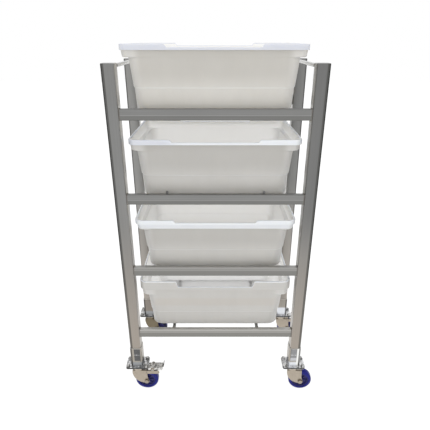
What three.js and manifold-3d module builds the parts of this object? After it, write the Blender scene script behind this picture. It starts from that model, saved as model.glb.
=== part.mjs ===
// Lug cart: a welded stainless ladder frame on four swivel casters, with four plastic lugs
// (tubs), one on each level. Millimetres, +Z up, floor at z = 0, the front faces -Y.

import * as THREE from 'three';
import { mergeVertices } from 'three/addons/utils/BufferGeometryUtils.js';
import Module from 'manifold-3d';

const wasm = await Module();
wasm.setup();

// Frame of square posts, made round the lugs: the room that it leaves at their ends, in front
// of and behind their bodies and over their lips, and the posts' rise over the top crossbar
const lugEndRoom = 17.5;
const lugBodyRoom = 11.3;
const lugHeadroom = 85;
const deepLugHeadroom = 68;
const postRise = 159;
const postSide = 45;
const postWall = 2;
const postCornerRadius = 7;
const capThickness = 3;
const capEdgeRadius = 2;
const capSpigotDepth = 12;
const capSpigotClearance = 0.5;

// Crossbars, one at the front and one at the back of each level, the lowest at a height
// over the foot's flange
const levelNumbers = [1, 2, 3, 4];
const lowestBarRise = 173;
const barHeight = 38;
const barThickness = 20;
const barWall = 1.5;
const barCornerRadius = 3.5;
const barSetback = 4;

// Round rods: two under each lug and one at the top of each side
const rodDiameter = 12.7;
const supportRodSpacing = 348;
const lowestRodRise = 1;
const topRodDrop = 1.5;

// Stop studs on the second crossbar from the top
const studLevel = 2;
const studDiameter = 9;
const studHeight = 10;
const studTipRadius = 2;
const studInset = 5;

// Feet: a flange and a sleeve round the lower end of each post
const flangeThickness = 4;
const sleeveHeight = 97;
const sleeveWall = 2;
const sleeveClearance = 0.3;
const sleeveCornerRadius = 8;
const panelWidth = 26;
const panelHeight = 64;
const panelDepth = 1.2;
const panelMargin = 3;
const panelRibCount = 4;
const panelRibHeight = 6;
const panelRibDepth = 0.8;

// Caster top plate, with its swivel race, kingpin and four studs
const plateThickness = 3.5;
const plateCornerRadius = 9;
const plateEndMargin = 10;
const plateSideMargin = 11;
const boltRoom = 4.7;
const boltSpacingY = 46;
const boltDiameter = 8;
const boltHoleClearance = 0.4;
const boltTipLength = 3;
const nutAcrossCorners = 15;
const nutHeight = 6.5;
const washerDiameter = 17;
const washerThickness = 1.5;
const raceDiameter = 52;
const raceHeight = 9;
const raceLipRadius = 2;
const kingpinDiameter = 12;
const kingpinHeadDiameter = 22;
const kingpinHeadHeight = 4;
const swivelClearance = 0.5;

// Fork
const wheelDiameter = 100;
const wheelWidth = 32;
const casterTrail = 36;
const forkSheet = 3;
const forkSideClearance = 2;
const crownGap = 5;
const forkFrontReach = 24;
const forkRearReach = 40;
const forkEyeRadius = 12;
const forkRingDiameter = 46;
const forkRingHeight = 13;
const legCurveReachShare = 0.75;
const legCurveDropShare = 0.5;

// Brake arms on the fork and the pedal between them
const armLength = 54;
const armHeight = 16;
const armTopBelowCrown = 1;
const pedalPivotSetback = 24;
const pedalPivotRise = 7;
const pedalPivotEyeRadius = 8;
const pedalPinDiameter = 6;
const pedalPinHeadDiameter = 9;
const pedalPinHeadLength = 2;
const pedalHeight = 13;
const pedalSheet = 3;
const pedalGap = 4;
const pedalLength = 66;
const pedalTipRise = 12;
const pedalTipLean = 5;
const shoeSetback = 18;
const shoeDrop = 20;
const shoeWidth = 24;
const pedalSideClearance = 1;

// Wheel: tread on a hub that turns on a bolt
const treadThickness = 14;
const treadShoulder = 9;
const treadFit = 0.3;
const hubFaceInset = 3;
const hubRecessDepth = 6;
const hubRimWidth = 5;
const hubBossDiameter = 26;
const axleDiameter = 12;
const axleClearance = 0.4;
const axleHeadAcrossCorners = 20;
const axleHeadHeight = 6;
const axleTipLength = 4;

// How each caster stands in the picture: turn from straight to the right, and the brake
const casterPlaces = [
  { corner: 'front_left', side: -1, end: -1, turn: 0, brake: true },
  { corner: 'front_right', side: 1, end: -1, turn: -4, brake: false },
  { corner: 'rear_left', side: -1, end: 1, turn: 0, brake: false },
  { corner: 'rear_right', side: 1, end: 1, turn: 0, brake: true },
];

// Lug: the lowest one is deeper, with a taller lip and skirt
const lugHeight = 215;
const bodyStepHeight = 84;
const lipHeight = 18;
const lipDip = 9.5;
const skirtHeight = 21;
const deepBodyStepHeight = 75;
const deepLipHeight = 38;
const deepLipDip = 26;
const deepSkirtHeight = 27;
const lugLength = 600;
const lugWidth = 400;
const lugWall = 3;
const lipProud = 5;
const lipEdgeRadius = 2.5;
const lipDipLength = 294;
const lipSlopeLength = 10;
const lipCornerRadius = 30;
const skirtTaper = 3;
const shelfWidth = 16;
const shelfEdgeRadius = 3;
const longSideInset = 0.4;
const bodyCornerRadius = 42;
const bodyEndTaper = 7.5;
const bodySideTaper = 34;
const bodyStep = 2.5;
const bodyStepRise = 3;
const bodyLowerTaper = 2.5;
const baseEdgeRadius = 6;
const baseRecess = 3;
const baseRimWidth = 9;
const lugSeatGap = 0.3;

// How far each lug stands to the rear and to the left of the frame's middle in the picture
const lugSetback = 10;
const lugSetbackShares = [0.1, 1, 0.9, 0.7];
const lugShift = 4;
const lugShiftShares = [1, 0.3, 0.2, 0.4];

// One length that lets every cutting solid run past the face that it cuts
const cutOverrun = 2;

// How finely round shapes are divided
const wheelSides = 20;
const raceSides = 16;
const rodSides = 12;
const boltSides = 6;
const washerSides = 8;
const cornerSteps = 2;
const barCornerSteps = 1;
const lugCornerSteps = 3;

// Heights inside the caster, from the floor up
const axleHeight = wheelDiameter / 2;
const crownBottom = wheelDiameter + crownGap;
const crownTop = crownBottom + forkSheet;
const forkRingTop = crownTop + forkRingHeight;
const raceBottom = forkRingTop + swivelClearance;
const plateBottom = raceBottom + raceHeight;
const casterHeight = plateBottom + plateThickness;
const legInnerFace = wheelWidth / 2 + forkSideClearance;
const legOuterFace = legInnerFace + forkSheet;

// Heights and places in the frame
const footTop = casterHeight + flangeThickness;
const levelPitch = lugHeight + lugHeadroom;
const barCentre = (level) => footTop + lowestBarRise + (levelNumbers.length - level) * levelPitch;
const frameHeight = barCentre(levelNumbers[0]) + postRise;
const postTop = frameHeight - capThickness;
const barLength = lugLength + 2 * lugEndRoom;
const frameWidth = barLength + 2 * postSide;
const lugHalfDepthAtBar = lugWidth / 2 - lipProud - skirtTaper - bodyStep
  - bodySideTaper * (lugHeight - lipHeight - skirtHeight - barHeight / 2) / lugHeight;
const barInnerFaceY = lugHalfDepthAtBar + lugBodyRoom;
const barOffsetY = barInnerFaceY + barThickness / 2;
const frameDepth = 2 * (barInnerFaceY + barThickness + barSetback);
const postOffsetX = (frameWidth - postSide) / 2;
const postOffsetY = (frameDepth - postSide) / 2;
const sleeveSide = postSide + 2 * (sleeveClearance + sleeveWall);
const boltSpacingX = sleeveSide + washerDiameter + 2 * boltRoom;
const plateLength = boltSpacingX + 2 * plateEndMargin;
const plateWidth = boltSpacingY + 2 * plateSideMargin;
const rodRadius = rodDiameter / 2;
const isLowest = (level) => level === levelNumbers.length;
const rodTop = (level) => barCentre(level) + (isLowest(level) ? barHeight / 2 + lowestRodRise : 0);

const steel = (name, color, roughness) =>
  new THREE.MeshStandardMaterial({ name, color, roughness, metalness: 1 });
const plastic = (name, color, roughness) =>
  new THREE.MeshStandardMaterial({ name, color, roughness, metalness: 0 });

const cart = new THREE.Group();

function addPiece(parent, name, geometry, material) {
  const mesh = new THREE.Mesh(geometry, material);
  mesh.name = name;
  parent.add(mesh);
  return mesh;
}

// Solids for joining and cutting
function toSolid(geometry) {
  const bare = geometry.clone();
  bare.deleteAttribute('normal');
  bare.deleteAttribute('uv');
  const merged = mergeVertices(bare);
  return new wasm.Manifold(new wasm.Mesh({
    numProp: 3,
    vertProperties: merged.attributes.position.array,
    triVerts: Uint32Array.from(merged.index.array),
  }));
}

function toGeometry(solid) {
  const mesh = solid.getMesh();
  const geometry = new THREE.BufferGeometry();
  geometry.setAttribute('position', new THREE.BufferAttribute(mesh.vertProperties, 3));
  geometry.setIndex(new THREE.BufferAttribute(mesh.triVerts, 1));
  return geometry;
}

function join(geometries) {
  return geometries.map(toSolid).reduce((whole, next) => whole.add(next));
}

// Outlines and simple shapes
function roundedRectangle(width, height, radius, Kind = THREE.Shape) {
  const outline = new Kind();
  const x = width / 2 - radius;
  const y = height / 2 - radius;
  outline.absarc(x, y, radius, 0, Math.PI / 2);
  outline.absarc(-x, y, radius, Math.PI / 2, Math.PI);
  outline.absarc(-x, -y, radius, Math.PI, Math.PI * 1.5);
  outline.absarc(x, -y, radius, Math.PI * 1.5, Math.PI * 2);
  outline.closePath();
  return outline;
}

function extrude(outline, depth, curveSegments = cornerSteps) {
  return new THREE.ExtrudeGeometry(outline, { depth, bevelEnabled: false, curveSegments });
}

function rectangularTube(width, height, wall, radius, length, curveSegments = cornerSteps) {
  const outline = roundedRectangle(width, height, radius);
  const bore = roundedRectangle(width - 2 * wall, height - 2 * wall, radius - wall, THREE.Path);
  outline.holes.push(bore);
  return extrude(outline, length, curveSegments);
}

function box(width, depth, height, x, y, z) {
  return new THREE.BoxGeometry(width, depth, height).translate(x, y, z);
}

function uprightCylinder(diameter, bottom, top, sides = rodSides) {
  const geometry = new THREE.CylinderGeometry(diameter / 2, diameter / 2, top - bottom, sides);
  return geometry.rotateX(Math.PI / 2).translate(0, 0, (top + bottom) / 2);
}

// A cylinder along Y, its ends at y = start and y = end
function crossCylinder(diameter, start, end, x, z, sides = rodSides) {
  const geometry = new THREE.CylinderGeometry(diameter / 2, diameter / 2, end - start, sides);
  return geometry.translate(x, (start + end) / 2, z);
}

// A closed skin over rings of points, each with as many points as the last, capped at both ends
function skinOverRings(rings) {
  const count = rings[0].length;
  const positions = rings.flat().flatMap((point) => [point.x, point.y, point.z]);
  const indices = [];
  for (let ring = 0; ring + 1 < rings.length; ring += 1) {
    for (let step = 0; step < count; step += 1) {
      const here = ring * count + step;
      const beside = ring * count + ((step + 1) % count);
      indices.push(here, beside, beside + count, here, beside + count, here + count);
    }
  }
  const closeEnd = (ring, flip) => {
    const centre = positions.length / 3;
    const middle = new THREE.Vector3();
    rings[ring].forEach((point) => middle.add(point));
    middle.divideScalar(count);
    positions.push(middle.x, middle.y, middle.z);
    for (let step = 0; step < count; step += 1) {
      const here = ring * count + step;
      const beside = ring * count + ((step + 1) % count);
      indices.push(centre, ...(flip ? [beside, here] : [here, beside]));
    }
  };
  closeEnd(0, true);
  closeEnd(rings.length - 1, false);
  const geometry = new THREE.BufferGeometry();
  geometry.setAttribute('position', new THREE.Float32BufferAttribute(positions, 3));
  geometry.setIndex(indices);
  return geometry;
}

// One ring: a rounded rectangle, anticlockwise, with extra points where the lip dips
function ringOutline(halfX, halfY, radius, breaks = [], steps = cornerSteps) {
  const points = [];
  const corners = [[1, 1], [-1, 1], [-1, -1], [1, -1]];
  corners.forEach(([signX, signY], quarter) => {
    for (let step = 0; step <= steps; step += 1) {
      const angle = (quarter + step / steps) * Math.PI / 2;
      const x = signX * (halfX - radius) + radius * Math.cos(angle);
      const y = signY * (halfY - radius) + radius * Math.sin(angle);
      points.push(new THREE.Vector2(x, y));
    }
    if (quarter % 2 === 0) {
      breaks.forEach((place) => points.push(new THREE.Vector2(signY * place, signY * halfY)));
    }
  });
  return points;
}

const atHeight = (outline, z) => outline.map((point) => new THREE.Vector3(point.x, point.y, z));

// Post: a square tube from the foot's flange to its cap
function makePost() {
  const length = postTop - footTop;
  const tube = rectangularTube(postSide, postSide, postWall, postCornerRadius, length);
  return tube.translate(0, 0, footTop);
}

// Cap: a plate with a rounded upper edge, and a spigot inside the post
function makePostCap() {
  const half = postSide / 2;
  const spigotHalf = half - postWall - capSpigotClearance;
  const spigotRadius = postCornerRadius - postWall - capSpigotClearance;
  const spigot = ringOutline(spigotHalf, spigotHalf, spigotRadius);
  const rings = [
    atHeight(spigot, postTop - capSpigotDepth),
    atHeight(spigot, postTop),
    atHeight(ringOutline(half, half, postCornerRadius), postTop),
  ];
  for (let step = 0; step <= cornerSteps; step += 1) {
    const angle = (step / cornerSteps) * Math.PI / 2;
    const inset = capEdgeRadius * (1 - Math.cos(angle));
    const outline = ringOutline(half - inset, half - inset, postCornerRadius - inset);
    rings.push(atHeight(outline, frameHeight - capEdgeRadius * (1 - Math.sin(angle))));
  }
  return skinOverRings(rings);
}

// Crossbar: a rectangular tube between the posts' inner faces
function makeCrossbar() {
  const tube = rectangularTube(
    barHeight, barThickness, barWall, barCornerRadius, barLength, barCornerSteps);
  return tube.translate(0, 0, -barLength / 2).rotateY(Math.PI / 2);
}

// Rod along Y, its middle at the origin
function makeRod(length) {
  return crossCylinder(rodDiameter, -length / 2, length / 2, 0, 0);
}

// Stop stud: a short round pin with a domed tip
function makeStopStud() {
  const radius = studDiameter / 2;
  const shoulder = studHeight - studTipRadius;
  const profile = new THREE.Path();
  profile.moveTo(0, 0);
  profile.lineTo(radius, 0);
  profile.lineTo(radius, shoulder);
  profile.absarc(radius - studTipRadius, shoulder, studTipRadius, 0, Math.PI / 2);
  profile.lineTo(0, studHeight);
  const lathe = new THREE.LatheGeometry(profile.getPoints(barCornerSteps), rodSides);
  return lathe.rotateX(Math.PI / 2);
}

const boltPlaces = [[1, 1], [-1, 1], [-1, -1], [1, -1]].map(
  ([x, y]) => [x * boltSpacingX / 2, y * boltSpacingY / 2]);

const plateOutline = () => roundedRectangle(plateLength, plateWidth, plateCornerRadius);

// Foot: the flange that the caster is bolted to, with a sleeve that holds the post. The
// sleeve's outer face has a sunken panel with ribs across it. It is drawn facing -Y.
function makeFoot() {
  const sleeveFace = -sleeveSide / 2;
  const flange = extrude(plateOutline(), flangeThickness).translate(0, 0, casterHeight);
  const sleeve = rectangularTube(
    sleeveSide, sleeveSide, sleeveWall, sleeveCornerRadius, sleeveHeight);
  let foot = join([flange, sleeve.translate(0, 0, footTop)]);

  const panelTop = footTop + sleeveHeight - panelMargin;
  const panelCentre = panelTop - panelHeight / 2;
  const cutDepth = panelDepth + cutOverrun;
  const cutY = sleeveFace + panelDepth - cutDepth / 2;
  foot = foot.subtract(toSolid(box(panelWidth, cutDepth, panelHeight, 0, cutY, panelCentre)));

  const ribPitch = panelHeight / panelRibCount;
  const ribY = sleeveFace + panelDepth - panelRibDepth / 2;
  const highestRibZ = panelTop - ribPitch / 2;
  for (let rib = 0; rib < panelRibCount; rib += 1) {
    const ribZ = highestRibZ - rib * ribPitch;
    const bar = box(panelWidth, panelRibDepth, panelRibHeight, 0, ribY, ribZ);
    foot = foot.add(toSolid(bar));
  }
  for (const [x, y] of boltPlaces) {
    const diameter = boltDiameter + 2 * boltHoleClearance;
    const hole = uprightCylinder(
      diameter, casterHeight - cutOverrun, footTop + cutOverrun, boltSides);
    foot = foot.subtract(toSolid(hole.translate(x, y, 0)));
  }
  return toGeometry(foot);
}

// Caster plate: bolted under the flange, with the swivel race, the kingpin and the studs
function makeCasterPlate() {
  const parts = [extrude(plateOutline(), plateThickness).translate(0, 0, plateBottom)];
  const race = new THREE.Path();
  race.moveTo(0, raceBottom);
  race.lineTo(raceDiameter / 2 - raceLipRadius, raceBottom);
  race.absarc(raceDiameter / 2 - raceLipRadius, raceBottom + raceLipRadius, raceLipRadius,
    -Math.PI / 2, 0);
  race.lineTo(raceDiameter / 2, plateBottom + plateThickness / 2);
  race.lineTo(0, plateBottom + plateThickness / 2);
  parts.push(new THREE.LatheGeometry(race.getPoints(barCornerSteps), raceSides)
    .rotateX(Math.PI / 2));

  const headTop = crownBottom - swivelClearance;
  parts.push(uprightCylinder(kingpinDiameter, headTop - kingpinHeadHeight / 2, plateBottom));
  parts.push(uprightCylinder(kingpinHeadDiameter, headTop - kingpinHeadHeight, headTop));
  for (const [x, y] of boltPlaces) {
    const nutBottom = footTop + washerThickness;
    const nutTop = nutBottom + nutHeight;
    const shank = uprightCylinder(boltDiameter, plateBottom + plateThickness / 2,
      nutTop + boltTipLength, boltSides);
    const washer = uprightCylinder(washerDiameter, footTop, nutBottom, washerSides);
    const nut = uprightCylinder(nutAcrossCorners, nutBottom, nutTop, boltSides);
    parts.push(...[shank, washer, nut].map((piece) => piece.translate(x, y, 0)));
  }
  return toGeometry(join(parts));
}

// Fork leg: the outline seen from the side, its eye round the axle and its top at the crown
function legOutline() {
  const frontCurve = [
    -legCurveReachShare * forkFrontReach, axleHeight - legCurveDropShare * forkEyeRadius];
  const eyeBottom = axleHeight - forkEyeRadius;
  const leg = new THREE.Shape();
  leg.moveTo(-forkFrontReach, crownTop);
  leg.lineTo(-forkFrontReach, crownBottom - forkSheet);
  leg.quadraticCurveTo(...frontCurve, casterTrail, eyeBottom);
  leg.absarc(casterTrail, axleHeight, forkEyeRadius, -Math.PI / 2, 0);
  leg.quadraticCurveTo(forkRearReach, axleHeight + forkEyeRadius, forkRearReach, crownTop);
  leg.closePath();
  return leg;
}

// Brake arm: a strip behind the leg, with an eye for the pedal's pin
function armOutline() {
  const top = crownTop - armTopBelowCrown;
  const reach = forkRearReach + armLength;
  const radius = armHeight / 2;
  const arm = new THREE.Shape();
  arm.moveTo(forkRearReach - forkSheet, top);
  arm.lineTo(forkRearReach - forkSheet, top - armHeight);
  arm.lineTo(reach - radius, top - armHeight);
  arm.absarc(reach - radius, top - radius, radius, -Math.PI / 2, Math.PI / 2);
  arm.closePath();
  return arm;
}

// Outlines are drawn in X and Y; this stands one up in X and Z and gives it a thickness
function uprightSheet(outline, innerFace, thickness) {
  return extrude(outline, thickness).rotateX(Math.PI / 2).translate(0, innerFace, 0);
}

const pedalPivotReach = forkRearReach + pedalPivotSetback;
const pedalPivotHeight = crownTop + pedalPivotRise - armTopBelowCrown;

function makeFork(brake) {
  const crownLength = forkFrontReach + forkRearReach;
  const crownMiddle = (forkRearReach - forkFrontReach) / 2;
  const parts = [box(crownLength, 2 * legOuterFace, forkSheet,
    crownMiddle, 0, crownBottom + forkSheet / 2)];
  const ring = new THREE.Path();
  ring.moveTo(0, crownTop - forkSheet / 2);
  ring.lineTo(forkRingDiameter / 2, crownTop - forkSheet / 2);
  ring.lineTo(forkRingDiameter / 2, forkRingTop - raceLipRadius);
  ring.absarc(forkRingDiameter / 2 - raceLipRadius, forkRingTop - raceLipRadius, raceLipRadius,
    0, Math.PI / 2);
  ring.lineTo(0, forkRingTop);
  parts.push(new THREE.LatheGeometry(ring.getPoints(barCornerSteps), raceSides)
    .rotateX(Math.PI / 2));
  for (const start of [legOuterFace, -legInnerFace]) {
    parts.push(uprightSheet(legOutline(), start, forkSheet));
    if (brake) {
      parts.push(uprightSheet(armOutline(), start, forkSheet));
      parts.push(crossCylinder(2 * pedalPivotEyeRadius, start - forkSheet, start,
        pedalPivotReach, pedalPivotHeight));
    }
  }
  let fork = join(parts);
  const across = legOuterFace + cutOverrun;
  const holes = [
    uprightCylinder(kingpinDiameter + 2 * swivelClearance, crownBottom - cutOverrun,
      forkRingTop + cutOverrun),
    crossCylinder(axleDiameter + 2 * axleClearance, -across, across, casterTrail, axleHeight),
  ];
  if (brake) {
    holes.push(crossCylinder(pedalPinDiameter + 2 * axleClearance, -across, across,
      pedalPivotReach, pedalPivotHeight, boltSides));
  }
  holes.forEach((hole) => {
    fork = fork.subtract(toSolid(hole));
  });
  return toGeometry(fork);
}

// Brake pedal: a folded channel, open below, with an upturned tip, a shoe that presses on the
// tread, and its pin across it
function makeBrakePedal() {
  const width = 2 * (legInnerFace - pedalSideClearance);
  const bottom = crownTop - armTopBelowCrown;
  const top = bottom + pedalHeight;
  const pedalFront = forkRearReach + pedalGap;
  const end = pedalFront + pedalLength;
  const side = new THREE.Shape();
  side.moveTo(pedalFront, bottom);
  side.lineTo(end - pedalTipLean, bottom);
  side.lineTo(end + pedalTipLean, top + pedalTipRise);
  side.lineTo(end + pedalTipLean - pedalSheet, top + pedalTipRise);
  side.lineTo(end - pedalTipLean, top);
  side.lineTo(pedalFront + pedalSheet, top);
  side.lineTo(pedalFront, top - pedalSheet);
  side.closePath();
  const inner = new THREE.Shape();
  inner.moveTo(pedalFront - cutOverrun, bottom - cutOverrun);
  inner.lineTo(end - pedalTipLean - pedalSheet, bottom - cutOverrun);
  inner.lineTo(end - pedalTipLean - pedalSheet, top - pedalSheet);
  inner.lineTo(pedalFront - cutOverrun, top - pedalSheet);
  inner.closePath();
  const innerWidth = width - 2 * pedalSheet;
  const pinEnd = legOuterFace + axleClearance;
  let pedal = toSolid(uprightSheet(side, width / 2, width));
  pedal = pedal.subtract(toSolid(uprightSheet(inner, innerWidth / 2, innerWidth)));
  const headEnd = pinEnd + pedalPinHeadLength;
  const pin = crossCylinder(
    pedalPinDiameter, -headEnd, headEnd, pedalPivotReach, pedalPivotHeight, boltSides);
  const heads = [-headEnd, pinEnd].map((start) => crossCylinder(
    pedalPinHeadDiameter, start, start + pedalPinHeadLength, pedalPivotReach,
    pedalPivotHeight, boltSides));
  const shoeTop = top - pedalSheet / 2;
  const shoeHeight = shoeTop - bottom + shoeDrop;
  const shoe = box(pedalSheet, shoeWidth, shoeHeight,
    pedalPivotReach + shoeSetback, 0, shoeTop - shoeHeight / 2);
  return toGeometry([shoe, pin, ...heads].reduce(
    (whole, next) => whole.add(toSolid(next)), pedal));
}

// Points of a lathe profile, as pairs of radius and place along the axle
const latheAlongY = (pairs) => {
  const points = pairs.map(([radius, y]) => new THREE.Vector2(radius, y));
  return new THREE.LatheGeometry(points, wheelSides);
};

// Tread: a moulded band with rounded shoulders
function makeTread() {
  const outer = wheelDiameter / 2;
  const inner = outer - treadThickness;
  const half = wheelWidth / 2;
  const shoulder = [];
  for (let step = 0; step <= cornerSteps; step += 1) {
    const angle = (step / cornerSteps) * Math.PI / 2;
    shoulder.push([
      outer - treadShoulder * (1 - Math.cos(angle)),
      half - treadShoulder * (1 - Math.sin(angle)),
    ]);
  }
  const mirrored = shoulder.map(([radius, y]) => [radius, -y]).reverse();
  const profile = [[inner, -half], ...mirrored, ...shoulder, [inner, half], [inner, -half]];
  return latheAlongY(profile);
}

// Hub: a rim under the tread, a thinner web and a boss on the axle
function makeHub() {
  const rim = wheelDiameter / 2 - treadThickness - treadFit;
  const web = rim - hubRimWidth;
  const half = wheelWidth / 2 - hubFaceInset;
  const webHalf = half - hubRecessDepth;
  const bossHalf = legInnerFace - axleClearance;
  const boss = hubBossDiameter / 2;
  const bore = axleDiameter / 2 + axleClearance;
  return latheAlongY([
    [bore, -bossHalf], [boss, -bossHalf], [boss, -webHalf], [web, -webHalf],
    [rim, -half], [rim, half], [web, webHalf], [boss, webHalf],
    [boss, bossHalf], [bore, bossHalf], [bore, -bossHalf],
  ]);
}

// Axle: a bolt through fork and hub, with a hexagon head and a nut
function makeAxle() {
  const face = legOuterFace + axleClearance;
  const end = face + axleHeadHeight;
  const shank = crossCylinder(
    axleDiameter, -face - axleHeadHeight / 2, end + axleTipLength, 0, 0);
  const head = crossCylinder(axleHeadAcrossCorners, -end, -face, 0, 0, boltSides);
  const nut = crossCylinder(axleHeadAcrossCorners, face, end, 0, 0, boltSides);
  return toGeometry(join([shank, head, nut]));
}

const standardLug = {
  height: lugHeight, step: bodyStepHeight, lip: lipHeight, dip: lipDip, skirt: skirtHeight,
};
const deepLug = {
  height: levelPitch - deepLugHeadroom, step: deepBodyStepHeight, lip: deepLipHeight,
  dip: deepLipDip, skirt: deepSkirtHeight,
};

// Lug: one wall all round, with a lip that dips along the middle of each long side, a shelf
// under the lip at each short end, a step in the wall and a raised floor
function makeLug({ height, step, lip, dip, skirt }) {
  const dipEnd = lipDipLength / 2;
  const slopeEnd = dipEnd + lipSlopeLength;
  const breaks = [slopeEnd, dipEnd, -dipEnd, -slopeEnd];
  const ring = (halfX, halfY, radius) =>
    ringOutline(halfX, halfY, radius, breaks, lugCornerSteps);
  const raisedBy = (point) => {
    const along = Math.abs(point.x) - dipEnd;
    return Math.min(Math.max(along / lipSlopeLength, 0), 1);
  };
  const lipRing = (halfX, halfY, radius, below) => ring(halfX, halfY, radius).map((point) =>
    new THREE.Vector3(point.x, point.y, height - below - dip * (1 - raisedBy(point))));

  const lipX = lugLength / 2;
  const lipY = lugWidth / 2;
  const lipBottom = height - lip;
  const shelfZ = lipBottom - skirt;
  const skirtX = lipX - lipProud;
  const skirtY = lipY - lipProud;
  const skirtRadius = lipCornerRadius - lipProud;
  const shelfX = skirtX - skirtTaper;
  const shelfY = skirtY - skirtTaper;
  const bodyX = shelfX - shelfWidth;
  const stepX = bodyX - bodyEndTaper;
  const stepY = shelfY - bodySideTaper * (shelfZ - step) / height;
  const lowX = stepX - bodyStep;
  const lowY = stepY - bodyStep;
  const baseX = lowX - bodyLowerTaper;
  const baseY = lowY - bodySideTaper * step / height;
  const rimX = baseX - baseEdgeRadius - baseRimWidth;
  const rimY = baseY - baseEdgeRadius - baseRimWidth;
  const edgeShare = 1 - Math.SQRT1_2;
  const stepLow = step - bodyStepRise;
  const floorZ = baseRecess + lugWall;

  const wall = (halfX, halfY, radius, z) => atHeight(ring(halfX, halfY, radius), z);
  const outside = [
    wall(rimX, rimY, bodyCornerRadius - baseEdgeRadius - baseRimWidth, baseRecess),
    wall(rimX, rimY, bodyCornerRadius - baseEdgeRadius - baseRimWidth, 0),
    wall(baseX - baseEdgeRadius, baseY - baseEdgeRadius, bodyCornerRadius - baseEdgeRadius, 0),
    wall(baseX - edgeShare * baseEdgeRadius, baseY - edgeShare * baseEdgeRadius,
      bodyCornerRadius - edgeShare * baseEdgeRadius, edgeShare * baseEdgeRadius),
    wall(baseX, baseY, bodyCornerRadius, baseEdgeRadius),
    wall(lowX, lowY, bodyCornerRadius, stepLow),
    wall(stepX, stepY, bodyCornerRadius, step),
    wall(bodyX, shelfY - longSideInset, bodyCornerRadius, shelfZ),
    wall(shelfX - shelfEdgeRadius, shelfY - longSideInset / 2,
      skirtRadius - skirtTaper, shelfZ + shelfEdgeRadius / 4),
    wall(shelfX, shelfY, skirtRadius - skirtTaper, shelfZ + shelfEdgeRadius),
    wall(skirtX, skirtY, skirtRadius, lipBottom),
    wall(lipX, lipY, lipCornerRadius, lipBottom),
    lipRing(lipX, lipY, lipCornerRadius, lipEdgeRadius),
    lipRing(lipX - edgeShare * lipEdgeRadius, lipY - edgeShare * lipEdgeRadius,
      lipCornerRadius - edgeShare * lipEdgeRadius, edgeShare * lipEdgeRadius),
    lipRing(lipX - lipEdgeRadius, lipY - lipEdgeRadius, lipCornerRadius - lipEdgeRadius, 0),
  ];
  const insideTop = lipProud + lugWall;
  const inside = [
    lipRing(lipX - insideTop + lipEdgeRadius / 2, lipY - insideTop + lipEdgeRadius / 2,
      skirtRadius - lugWall + lipEdgeRadius / 2, 0),
    lipRing(lipX - insideTop, lipY - insideTop, skirtRadius - lugWall, lipEdgeRadius / 2),
    wall(shelfX - lugWall, shelfY - lugWall, skirtRadius - skirtTaper - lugWall,
      shelfZ + lugWall + shelfEdgeRadius),
    wall(bodyX - lugWall + shelfEdgeRadius, shelfY - lugWall - longSideInset / 2,
      bodyCornerRadius - lugWall, shelfZ + lugWall),
    wall(bodyX - lugWall, shelfY - lugWall - longSideInset, bodyCornerRadius - lugWall,
      shelfZ),
    wall(stepX - lugWall, stepY - lugWall, bodyCornerRadius - lugWall, step),
    wall(lowX - lugWall, lowY - lugWall, bodyCornerRadius - lugWall, stepLow),
    wall(baseX - lugWall, baseY - lugWall, bodyCornerRadius - lugWall,
      floorZ + baseEdgeRadius),
    wall(baseX - lugWall - baseEdgeRadius, baseY - lugWall - baseEdgeRadius,
      bodyCornerRadius - lugWall - baseEdgeRadius, floorZ),
  ];
  return skinOverRings([...outside, ...inside]);
}

// Assembly of the welded frame
const postSteel = steel('brushed_steel_post', 0x9a9a98, 0.42);
const barSteel = steel('brushed_steel_bar', 0x949492, 0.4);
const rodSteel = steel('polished_rod', 0xb8b8b6, 0.25);
const footSteel = steel('polished_foot', 0xc2c4c6, 0.2);
const plateSteel = steel('plated_caster_steel', 0xb4b6b8, 0.25);
const forkSteel = steel('pressed_fork_steel', 0xb5a893, 0.38);
const boltSteel = steel('bolt_steel', 0xa9a39a, 0.35);
const lugPlastic = plastic('white_polyethylene', 0xe9ebec, 0.5);
const treadPlastic = plastic('blue_tread', 0x1c1e8a, 0.35);
const hubPlastic = plastic('navy_hub', 0x23244f, 0.5);

for (const { corner, side, end } of casterPlaces) {
  const x = side * postOffsetX;
  const y = end * postOffsetY;
  addPiece(cart, `post_${corner}`, makePost(), postSteel).position.set(x, y, 0);
  addPiece(cart, `post_cap_${corner}`, makePostCap(), postSteel).position.set(x, y, 0);
  const foot = makeFoot();
  if (end > 0) foot.rotateZ(Math.PI);
  addPiece(cart, `foot_${corner}`, foot, footSteel).position.set(x, y, 0);
  addPiece(cart, `caster_plate_${corner}`, makeCasterPlate(), plateSteel).position.set(x, y, 0);
}

const sides = [['left', -1], ['right', 1]];
const ends = [['front', -1], ['rear', 1]];

for (const level of levelNumbers) {
  for (const [end, sign] of ends) {
    const bar = addPiece(cart, `crossbar_${end}_${level}`, makeCrossbar(), barSteel);
    bar.position.set(0, sign * barOffsetY, barCentre(level));
  }
  for (const [side, sign] of sides) {
    const name = `support_rod_${level}_${side}`;
    const rod = addPiece(cart, name, makeRod(2 * barInnerFaceY), rodSteel);
    rod.position.set(sign * supportRodSpacing / 2, 0, rodTop(level) - rodRadius);
  }
}

for (const [side, sign] of sides) {
  const length = frameDepth - 2 * postSide;
  const rod = addPiece(cart, `top_rod_${side}`, makeRod(length), rodSteel);
  const x = frameWidth / 2 - postSide + rodRadius;
  rod.position.set(sign * x, 0, frameHeight - topRodDrop - rodRadius);

  const stud = addPiece(cart, `stop_stud_${side}`, makeStopStud(), rodSteel);
  const studY = -barInnerFaceY - studInset;
  stud.position.set(sign * supportRodSpacing / 2, studY, barCentre(studLevel) + barHeight / 2);
}

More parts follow.
